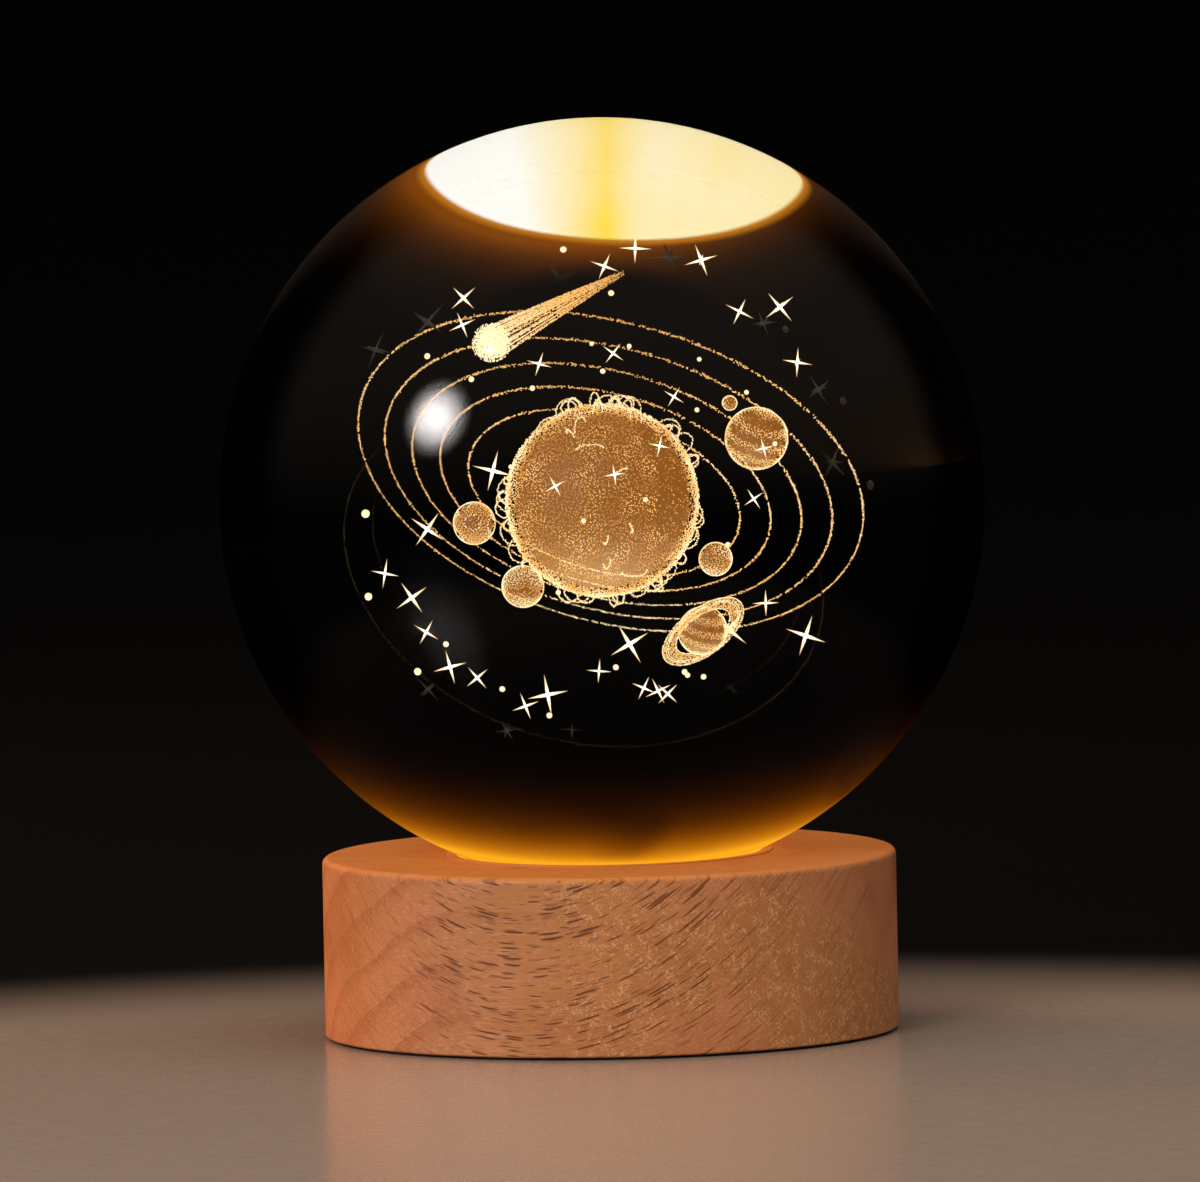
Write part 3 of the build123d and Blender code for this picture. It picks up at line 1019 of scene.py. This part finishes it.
    def scatter(self, count: int, nearest: float, farthest: float, first_turn: float = 0.0) -> np.ndarray:
        """Points above and below the orbits: heights step evenly, turns by the golden angle.

        Args:
            count: How many.
            nearest: Their least distance from the sun.
            farthest: Their greatest distance from it.
            first_turn: Turn of the first one, in degrees.

        Returns:
            Their places, a row each.
        """
        number = np.arange(count)
        low, high = sin(radians(self.least_climb)), sin(radians(self.most_climb))
        side = np.where(number % 2, 1.0, -1.0)
        climb = side * np.degrees(np.arcsin(low + (high - low) * (number + 0.5) / count))
        distance = nearest + (farthest - nearest) * (number * GOLDEN_SHARE % 1.0)
        return self.orbit_point(distance, first_turn + np.degrees(GOLDEN_ANGLE) * number, climb)

    @staticmethod
    def grown(count: int, least: float) -> np.ndarray:
        """Sizes from least to 1 in an even mix."""
        return least + (1.0 - least) * (np.arange(count) * GOLDEN_SHARE % 1.0)

    def warmth(self, places: np.ndarray) -> np.ndarray:
        """How near cracks are to the lamps, for the painted light that brightens them there: 1 at the bottom of the
        picture, 0 at its top.
        """
        return np.clip(0.5 - (places[:, 2] - self.middle[2]) / self.warm_height, 0.0, 1.0)

    def rim(self, ways: np.ndarray) -> np.ndarray:
        """1 for directions square to the front view, falling to 0 where they turn towards the front or back."""
        return np.clip(1.0 - np.abs(ways[:, 1]) / self.rim_width, 0.0, 1.0)

    def show(self, piece: bpy.types.Object, node: str, material: bpy.types.Material) -> bpy.types.Object:
        """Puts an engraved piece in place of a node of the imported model.

        Args:
            piece: The new piece.
            node: Name of the node that it stands for.
            material: Its finish.

        Returns:
            The piece.
        """
        dress(piece, material)
        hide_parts(node)
        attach(piece, Body.BALL.value)
        return piece

    def build(self) -> list[bpy.types.Object]:
        """Builds every engraved piece."""
        cracks = EngravingFinish().make()
        sparks = EngravingFinish("engraved_sparks", (0.9, 0.5, 0.2), (1.3, 1.0, 0.6), (2.2, 2.0, 1.6)).make()
        sun_hearts = ((self.middle, self.sun_shell * self.sun_heart),)
        sun = self.sun().build("sun_cracks", sun_hearts)
        planets = self.all_planets().build("planet_cracks", self.planet_hearts())
        return [
            self.show(sun, "engraved_sun", cracks),
            self.show(planets, "engraved_planets", cracks),
            self.show(self.ring().build("planet_ring_cracks"), "engraved_planet_ring", cracks),
            self.show(self.orbits().build("orbit_cracks"), "engraved_orbits", cracks),
            self.show(self.comet().build("comet_cracks"), "engraved_comet", cracks),
            self.show(self.stars(), "engraved_stars", sparks),
        ]

    def sun(self) -> Cracks:
        """The sun: a granular shell with darker spots, under arches of fire that reach its full radius.

        An arch over direction w, along the sideways direction s, is w (b + h sin t) + s (l cos t), with t from
        0 to pi, b the shell's radius, h the arch's height and l half its width. Two arches of three stand near
        the front plane, and the others lean further out of it.
        """
        dice = np.random.default_rng(3)
        shell = self.sun_shell
        ways = scattered_ways(self.sun_grains, dice)
        places = self.middle + ways * (shell * dice.uniform(self.sun_depth, 1.0, (len(ways), 1)))
        patches = ripple(ways, self.sun_patch, dice)
        spots = ripple(ways, self.spot_size, dice)
        least, patchy, warm, rim = self.sun_glow
        glow = least + patchy * patches + warm * self.warmth(places) + rim * self.rim(ways)
        surface = Cracks.of(places, self.grain * (0.85 + 0.3 * dice.random(len(ways))), glow)
        surface = surface.kept((spots > self.spot_edge) | (dice.random(len(ways)) < self.spot_grains))
        count, (near, far) = self.arch_count, self.arch_lean
        turn = dice.uniform(0.0, 2.0 * pi, count)
        lean = np.where(np.arange(count) % 3, dice.normal(scale=near, size=count), dice.uniform(-far, far, count))
        up = np.stack([np.cos(turn) * np.cos(lean), np.sin(lean), np.sin(turn) * np.cos(lean)], axis=-1)
        side = unit(np.cross(up, dice.normal(scale=0.4, size=(count, 3)) + [0.0, 1.0, 0.0]))
        tall = (self.sun_radius - shell) * dice.uniform(*self.arch_height, (count, 1, 1))
        wide = dice.uniform(*self.arch_width, (count, 1, 1)) * MM
        along = np.linspace(0.0, pi, self.arch_grains)[None, :, None]
        arches = up[:, None] * (shell + tall * np.sin(along)) + side[:, None] * wide * np.cos(along)
        arches = arches.reshape(-1, 3)
        arches = arches + dice.normal(scale=self.arch_blur, size=arches.shape)
        return Cracks.joined([surface, Cracks.of(self.middle + arches, self.fine_grain, self.arch_glow)])

    def globe(self, centre: np.ndarray, radius: float, face: PlanetFace, dice: np.random.Generator) -> Cracks:
        """A planet's shell, with bands, craters or clouds as brighter and dimmer cracks.

        Args:
            centre: Its middle.
            radius: Its radius.
            face: What is engraved on it.
            dice: Source of what is random.

        Returns:
            The cracks.
        """
        count = int(self.planet_grains * 4.0 * pi * (radius / MM) ** 2)
        ways = scattered_ways(count, dice)
        least, rim, chance, warm = self.planet_glow
        glow = least + rim * self.rim(ways) + chance * dice.random(count)
        if face is PlanetFace.BANDS:
            sway, size = self.band_ripple
            across = ways @ unit(np.array(self.planet_pole))
            band = np.sin(across * self.band_pitch + sway * ripple(ways, size, dice))
            keep = (band > self.band_edge) | (dice.random(count) < self.band_grains)
            glow = glow + self.band_glow * band
        elif face is PlanetFace.CRATERS:
            hollows = scattered_ways(self.crater_count, dice)
            away = np.arccos(np.clip(ways @ hollows.T, -1.0, 1.0)).min(axis=1)
            keep = (away > self.crater_edge) | (dice.random(count) < self.crater_grains)
            wall, half = self.crater_rim
            glow = glow + self.crater_glow * (np.abs(away - wall) < half)
        else:
            cover = ripple(ways, self.cover_size, dice)
            thin, thick = self.cover_edge
            keep = (cover > thin) | (dice.random(count) < self.cover_grains)
            glow = glow + self.cover_glow * (cover > thick)
        places = centre + ways * radius
        shell = Cracks.of(places, self.fine_grain, glow + warm * self.warmth(places)).kept(keep)
        turn = np.linspace(0.0, 2.0 * pi, int(radius / MM * self.edge_grains), endpoint=False)
        edge = centre + radius * np.stack([np.cos(turn), np.zeros_like(turn), np.sin(turn)], axis=-1)
        return Cracks.joined([shell, Cracks.of(edge, self.fine_grain, self.line_glow)])

    def moon_place(self) -> np.ndarray:
        """The middle of the small moon beside the third planet."""
        third = self.orbit_point(self.planets[2].distance, self.planets[2].turn)
        return third + unit(np.array(self.moon_bearing)) * self.moon_distance

    def planet_hearts(self) -> Hearts:
        """Middle and radius of the fill behind each planet's and the moon's grains."""
        hearts = [(self.orbit_point(planet.distance, planet.turn), planet.radius * self.planet_heart)
                  for planet in self.planets]
        return (*hearts, (self.moon_place(), self.moon_radius * self.planet_heart))

    def all_planets(self) -> Cracks:
        """Every planet and the small moon beside the third."""
        dice = np.random.default_rng(7)
        globes = [self.globe(self.orbit_point(planet.distance, planet.turn), planet.radius, planet.face, dice)
                  for planet in self.planets]
        globes.append(self.globe(self.moon_place(), self.moon_radius, PlanetFace.CLOUDS, dice))
        return Cracks.joined(globes)

    def ring(self) -> Cracks:
        """The last planet's ring: a flat band of grains with a gap, and a bright line along each edge."""
        dice = np.random.default_rng(11)
        centre = self.orbit_point(self.planets[-1].distance, self.planets[-1].turn)
        plane = self.turned(self.ring_tilt, self.ring_roll)
        inner, (gap_start, gap_end) = self.ring_inner / self.ring_outer, self.ring_gap
        share = np.sqrt(dice.uniform(inner**2, 1.0, self.ring_grains))
        edges = np.repeat([inner, *self.ring_lines, 1.0], self.ring_line_grains)
        share = np.concatenate([share[(share < gap_start) | (share > gap_end)], edges])
        away = share * (self.ring_outer - self.grain)
        turn = dice.uniform(0.0, 2.0 * pi, len(away))
        lift = dice.uniform(-self.ring_lift, self.ring_lift, len(away)) * self.ring_thickness
        flat = np.stack([away * np.cos(turn), away * np.sin(turn), lift], axis=-1)
        glow = np.full(len(away), self.ring_glow)
        glow[-len(edges):] = self.line_glow
        return Cracks.of(centre + flat @ plane.T, self.fine_grain, glow)

    def orbits(self) -> Cracks:
        """The orbits: fine dotted circles in the tilted plane, left out where a planet or the ring lies."""
        dice = np.random.default_rng(4)
        radii = np.repeat([planet.distance for planet in self.planets],
                          [int(planet.distance / MM * self.orbit_grains) for planet in self.planets])
        turn = dice.uniform(0.0, 360.0, len(radii))
        places = self.orbit_point(radii, turn) + dice.normal(scale=self.orbit_blur, size=(len(radii), 3))
        clear = np.full(len(radii), True)
        for planet in self.planets:
            gap = np.linalg.norm(places - self.orbit_point(planet.distance, planet.turn), axis=1)
            clear &= gap > planet.radius + self.orbit_gap
        least, warm, wave = self.orbit_glow
        glow = least + warm * self.warmth(places) + wave * np.sin(np.radians(turn) * 3.0)
        return Cracks.of(places, self.fine_grain, glow).kept(clear)

    def comet(self) -> Cracks:
        """The comet: a ball of cracks, dense in its middle, and streaks that run together along its tail.

        At share t of the tail a streak is at distance q (w + (e - w) t) from its axis, with q its own number from
        0 to 1, w the tail's half width at the head and e its half width at the end.
        """
        dice = np.random.default_rng(5)
        head = self.orbit_point(self.comet_distance, self.comet_turn, self.comet_climb)
        ahead = unit(np.array(self.comet_bearing))
        side = unit(np.cross(ahead, [0.0, 1.0, 0.0]))
        other = np.cross(ahead, side)
        core_count, tail_count = self.comet_grains
        core_ways = scattered_ways(core_count, dice)
        core = head + core_ways * (self.comet_head * dice.random((core_count, 1)) ** 0.55)
        share = 1.0 - dice.random(tail_count) ** 0.6
        streak = dice.integers(0, self.comet_streaks, tail_count)
        spread = np.sqrt(dice.random(self.comet_streaks))[streak]
        turn = dice.uniform(0.0, 2.0 * pi, self.comet_streaks)[streak]
        away = spread * (self.comet_tail + (self.comet_tail_end - self.comet_tail) * share)
        tail = (head + ahead * (self.comet_length * share)[:, None]
                + side * (away * np.cos(turn))[:, None] + other * (away * np.sin(turn))[:, None])
        tail = tail + dice.normal(scale=self.comet_blur, size=tail.shape)
        core_glow, tail_glow, tail_loss = self.comet_glow
        return Cracks.joined([
            Cracks.of(core, self.grain, core_glow),
            Cracks.of(tail, self.fine_grain, tail_glow - tail_loss * share),
        ])

    def stars(self) -> bpy.types.Object:
        """The stars: each a bright grain with six needle-like arms, and round dots between them.

        An arm is an eight-sided needle: its tips are at its star's middle and at its full length, and its girdle
        is a fifth of the way along. All arms of a star turn with it in the front plane.
        """
        girdle, half = self.star_girdle
        needle = EIGHT_TIPS * half
        needle[:, 0] = girdle
        needle[:2, 0] = (1.0, 0.0)
        frames = np.stack([np.stack([way, np.roll(way, 1), np.cross(way, np.roll(way, 1))], axis=1)
                           for way in EIGHT_TIPS])
        arms = np.einsum("fij,vj->fvi", frames, needle)
        star = np.concatenate([arms, EIGHT_TIPS[None] * self.star_heart])
        size = self.star_arm * self.grown(self.star_count, self.star_least)
        spin = np.arange(self.star_count) * GOLDEN_ANGLE
        zero, one = np.zeros_like(spin), np.ones_like(spin)
        turns = np.stack([np.stack([np.cos(spin), zero, np.sin(spin)], axis=-1),
                          np.stack([zero, one, zero], axis=-1),
                          np.stack([-np.sin(spin), zero, np.cos(spin)], axis=-1)], axis=1)
        middles = self.scatter(self.star_count, self.star_nearest, self.star_farthest)
        turned = np.einsum("sij,fvj->sfvi", turns, star) * size[:, None, None, None]
        corners, faces = copies((middles[:, None, None] + turned).reshape(-1, 6, 3), EIGHT_SIDES)
        arm_glow, tip_glow, heart_glow = self.star_glow
        glow = np.full(star.shape[:2], arm_glow)
        glow[:-1, 0] = tip_glow
        glow[-1] = heart_glow
        glow = np.tile(glow.ravel(), self.star_count)
        ball, sides = unit_ball(5, 10)
        dots = self.scatter(self.dot_count, self.dot_nearest, self.dot_farthest, self.dot_first_turn)
        size = self.dot_radius * self.grown(self.dot_count, self.dot_least)
        dot_corners, dot_faces = copies(dots[:, None] + ball[None] * size[:, None, None], sides)
        made = mesh_object("star_cracks", np.concatenate([corners, dot_corners]),
                           np.concatenate([faces, dot_faces + len(corners)]), smooth=False)
        set_glow(made, np.concatenate([glow, np.full(len(dot_corners), self.dot_glow)]))
        return made


# The base


@dataclass
class Base:
    """The wooden base with its lamps, inlet, cover and foot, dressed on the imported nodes."""

    steel: PlainFinish = PlainFinish("screw_steel", (0.5, 0.5, 0.5), 0.3, 1.0)
    nickel: PlainFinish = PlainFinish("socket_steel", (0.62, 0.6, 0.57), 0.25, 1.0)

    def dress(self) -> None:
        """Gives every node of the base its finish."""
        steel = self.steel.make()
        finishes = {
            "wooden_base": BeechFinish().make(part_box("wooden_base")[1].z),
            "light_diffuser": LitFinish("lit_diffuser", (1.0, 0.86, 0.52), 3.0).make(),
            "seat_ring": SiliconeFinish().make(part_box("seat_ring")[1].x),
            "foot_ring": PlainFinish("foot_rubber", (0.02, 0.02, 0.021), 0.8).make(),
            "bottom_cover": PlainFinish("cover_plastic", (0.03, 0.03, 0.032), 0.55).make(),
            "cover_screws": steel,
            "board_screws": steel,
            "usb_shell": self.nickel.make(),
            "usb_insert": PlainFinish("socket_plastic", (0.02, 0.02, 0.02), 0.45).make(),
            "usb_contacts": PlainFinish("contact_gold", (0.9, 0.62, 0.25), 0.25, 1.0).make(),
            "led_board": PlainFinish("board_mask", (0.8, 0.82, 0.78), 0.4).make(),
            "led_housings": PlainFinish("lamp_housing", (0.85, 0.84, 0.8), 0.35).make(),
            "led_phosphors": LitFinish("lamp_phosphor", (1.0, 0.8, 0.4), 3.0).make(),
            "series_resistors": PlainFinish("resistor", (0.03, 0.03, 0.035), 0.5).make(),
        }
        for name, material in finishes.items():
            dress(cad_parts[name], material)


# The studio


@dataclass(frozen=True)
class Lamp:
    """A round lamp: its name, place, diameter, power in watts and colour."""

    name: str
    place: tuple[float, float, float]
    size: float
    power: float
    colour: Colour


@dataclass
class Studio:
    """A floor with a painted pool of light that is pale under the object and falls into the dark behind, soft lamps,
    and the camera of the photograph.
    """

    distance: float = 3.0
    elevation: float = 4.7
    roll: float = 1.13
    aim: tuple[float, float, float] = (-0.0004, 0.0, 0.04635)
    view_width: float = 0.1254
    sensor_width: float = 36.0
    floor_pale: Colour = (0.33, 0.235, 0.175)
    floor_dark: Colour = (0.008, 0.007, 0.006)
    floor_middle: float = -0.07
    floor_fade: tuple[float, float] = (0.1, 0.16)
    floor_gloss: float = 0.22
    lamps: tuple[Lamp, ...] = (
        Lamp("key", (-0.214, -0.53, 0.3), 0.24, 2.15, (1.0, 0.96, 0.92)),
        Lamp("edge", (-0.39, 0.275, 0.1), 0.2, 2.0, (1.0, 0.5, 0.15)),
        Lamp("top", (0.05, -0.1, 0.7), 0.5, 2.6, (1.0, 1.0, 1.0)),
    )
    mirrored: Lamp = Lamp("key_reflection", (-0.487, -0.3525, 0.339), 0.28, 150.0, (1.0, 0.97, 0.93))
    dark_world: Colour = (0.0006, 0.0006, 0.0006)
    soft_world: Colour = (0.4, 0.39, 0.38)
    centre: tuple[float, float, float] = (0.0, 0.0, 0.056)

    def camera(self) -> None:
        """Places the camera where the photograph was taken from."""
        tilt, turn = radians(self.elevation), radians(self.roll)
        ahead = Vector((0.0, cos(tilt), -sin(tilt)))
        right = Vector((1.0, 0.0, 0.0))
        up = right.cross(ahead)
        side = right * cos(turn) - up * sin(turn)
        top = right * sin(turn) + up * cos(turn)
        made = bpy.data.objects.new("camera", bpy.data.cameras.new("camera"))
        bpy.context.scene.collection.objects.link(made)
        grid = Matrix((side, top, -ahead)).transposed().to_4x4()
        grid.translation = Vector(self.aim) - ahead * self.distance
        made.matrix_world = grid
        made.data.sensor_width = self.sensor_width
        made.data.lens = self.sensor_width * self.distance / self.view_width
        made.data.clip_start = 0.01
        bpy.context.scene.camera = made

    def disc(self, name: str, radii: np.ndarray, columns: int = 96) -> bpy.types.Object:
        """A flat disc about Z: at distance d and turn t, (d cos t, d sin t, 0).

        Args:
            name: Its name.
            radii: Distances of its rings from the middle.
            columns: Vertices round each ring.

        Returns:
            The disc, which faces up.
        """
        turn = np.linspace(0.0, 2.0 * pi, columns, endpoint=False)[None, :]
        away = radii[:, None]
        rings = np.stack([away * np.cos(turn), away * np.sin(turn), np.zeros_like(away * turn)], axis=-1)
        corners = np.concatenate([rings.reshape(-1, 3), [[0.0, 0.0, 0.0]]])
        row, column = np.meshgrid(np.arange(len(radii) - 1), np.arange(columns), indexing="ij")
        here, after = (row * columns + column).ravel(), (row * columns + (column + 1) % columns).ravel()
        first = np.arange(columns)
        fan = np.stack([first, (first + 1) % columns, np.full(columns, len(corners) - 1)], axis=-1)
        faces = np.concatenate([
            np.stack([here, here + columns, after + columns], axis=-1),
            np.stack([here, after + columns, after], axis=-1),
            fan,
        ])
        return mesh_object(name, corners, faces, smooth=False)

    def floor(self) -> None:
        """A wide floor with a painted pool of light, pale under the object and dark away from it."""
        made = self.disc("floor", np.geomspace(0.04, 6.0, 26))
        r = Recipe("floor")
        x, y, _ = r.axes(r.place())
        away = (x * x + (y - self.floor_middle) ** 2.0).root()
        # Painted light: the pale pool round the object fades into the dark floor.
        colour = r.blend(away.step(*self.floor_fade), self.floor_pale, self.floor_dark)
        grain = r.noise(r.place(), 400.0, 3.0)
        dress(made, r.finish(r.surface(Base_Color=colour, Roughness=grain.about(self.floor_gloss, 0.1))))

    def facing(self, made: bpy.types.Object, place: tuple[float, float, float], axis: str) -> None:
        """Puts a lamp or a disc at its place, with that axis towards the object."""
        made.location = place
        made.rotation_euler = (Vector(self.centre) - Vector(place)).to_track_quat(axis, "Y").to_euler()

    def softbox(self, lamp: Lamp) -> None:
        """Adds a round lamp that faces the object and isn't mirrored in it.

        Args:
            lamp: What it is like and where it stands.
        """
        light = bpy.data.lights.new(lamp.name, "AREA")
        light.shape = "DISK"
        light.size = lamp.size
        light.energy = lamp.power
        light.color = lamp.colour
        made = bpy.data.objects.new(lamp.name, light)
        bpy.context.scene.collection.objects.link(made)
        self.facing(made, lamp.place, "-Z")
        made.visible_camera = False
        made.visible_glossy = False
        made.visible_transmission = False

    def mirrored_lamp(self) -> None:
        """A soft-edged disc beside the key lamp, which the ball mirrors as its highlight."""
        lamp, radius = self.mirrored, self.mirrored.size / 2
        made = self.disc(lamp.name, np.linspace(0.02, 1.0, 12) * radius, 48)
        self.facing(made, lamp.place, "Z")
        r = Recipe(lamp.name)
        glow = r.scaled(lamp.colour, (r.from_axis() / radius).step(1.0, 0.0) ** 1.5)
        dress(made, r.finish(r.emission(glow, lamp.power)))
        made.visible_camera = False
        made.visible_diffuse = False
        made.visible_transmission = False
        made.visible_shadow = False

    def surroundings(self) -> None:
        """Dark charcoal behind the object and in its reflections, with a soft light on dull surfaces."""
        world = bpy.data.worlds.new("surroundings")
        world.use_nodes = True
        nodes, links = world.node_tree.nodes, world.node_tree.links
        nodes.clear()
        path = nodes.new("ShaderNodeLightPath")
        dark, soft = nodes.new("ShaderNodeBackground"), nodes.new("ShaderNodeBackground")
        dark.inputs["Color"].default_value = (*self.dark_world, 1.0)
        soft.inputs["Color"].default_value = (*self.soft_world, 1.0)
        mix, out = nodes.new("ShaderNodeMixShader"), nodes.new("ShaderNodeOutputWorld")
        links.new(path.outputs["Is Diffuse Ray"], mix.inputs[0])
        links.new(dark.outputs[0], mix.inputs[1])
        links.new(soft.outputs[0], mix.inputs[2])
        links.new(mix.outputs[0], out.inputs["Surface"])
        bpy.context.scene.world = world

    def build(self) -> None:
        """Sets up the camera, the floor, the surroundings and the lamps."""
        self.camera()
        self.floor()
        self.surroundings()
        for lamp in self.lamps:
            self.softbox(lamp)
        self.mirrored_lamp()
        bpy.context.scene.view_settings.view_transform = "Standard"


def main() -> None:
    """Builds the object and its studio."""
    Studio().build()
    pieces = [CrystalBall().build(), *Engraving().build()]
    Base().dress()
    for piece in pieces:
        log.info("%s: %d faces", piece.name, len(piece.data.polygons))


if __name__ == "__main__":
    main()
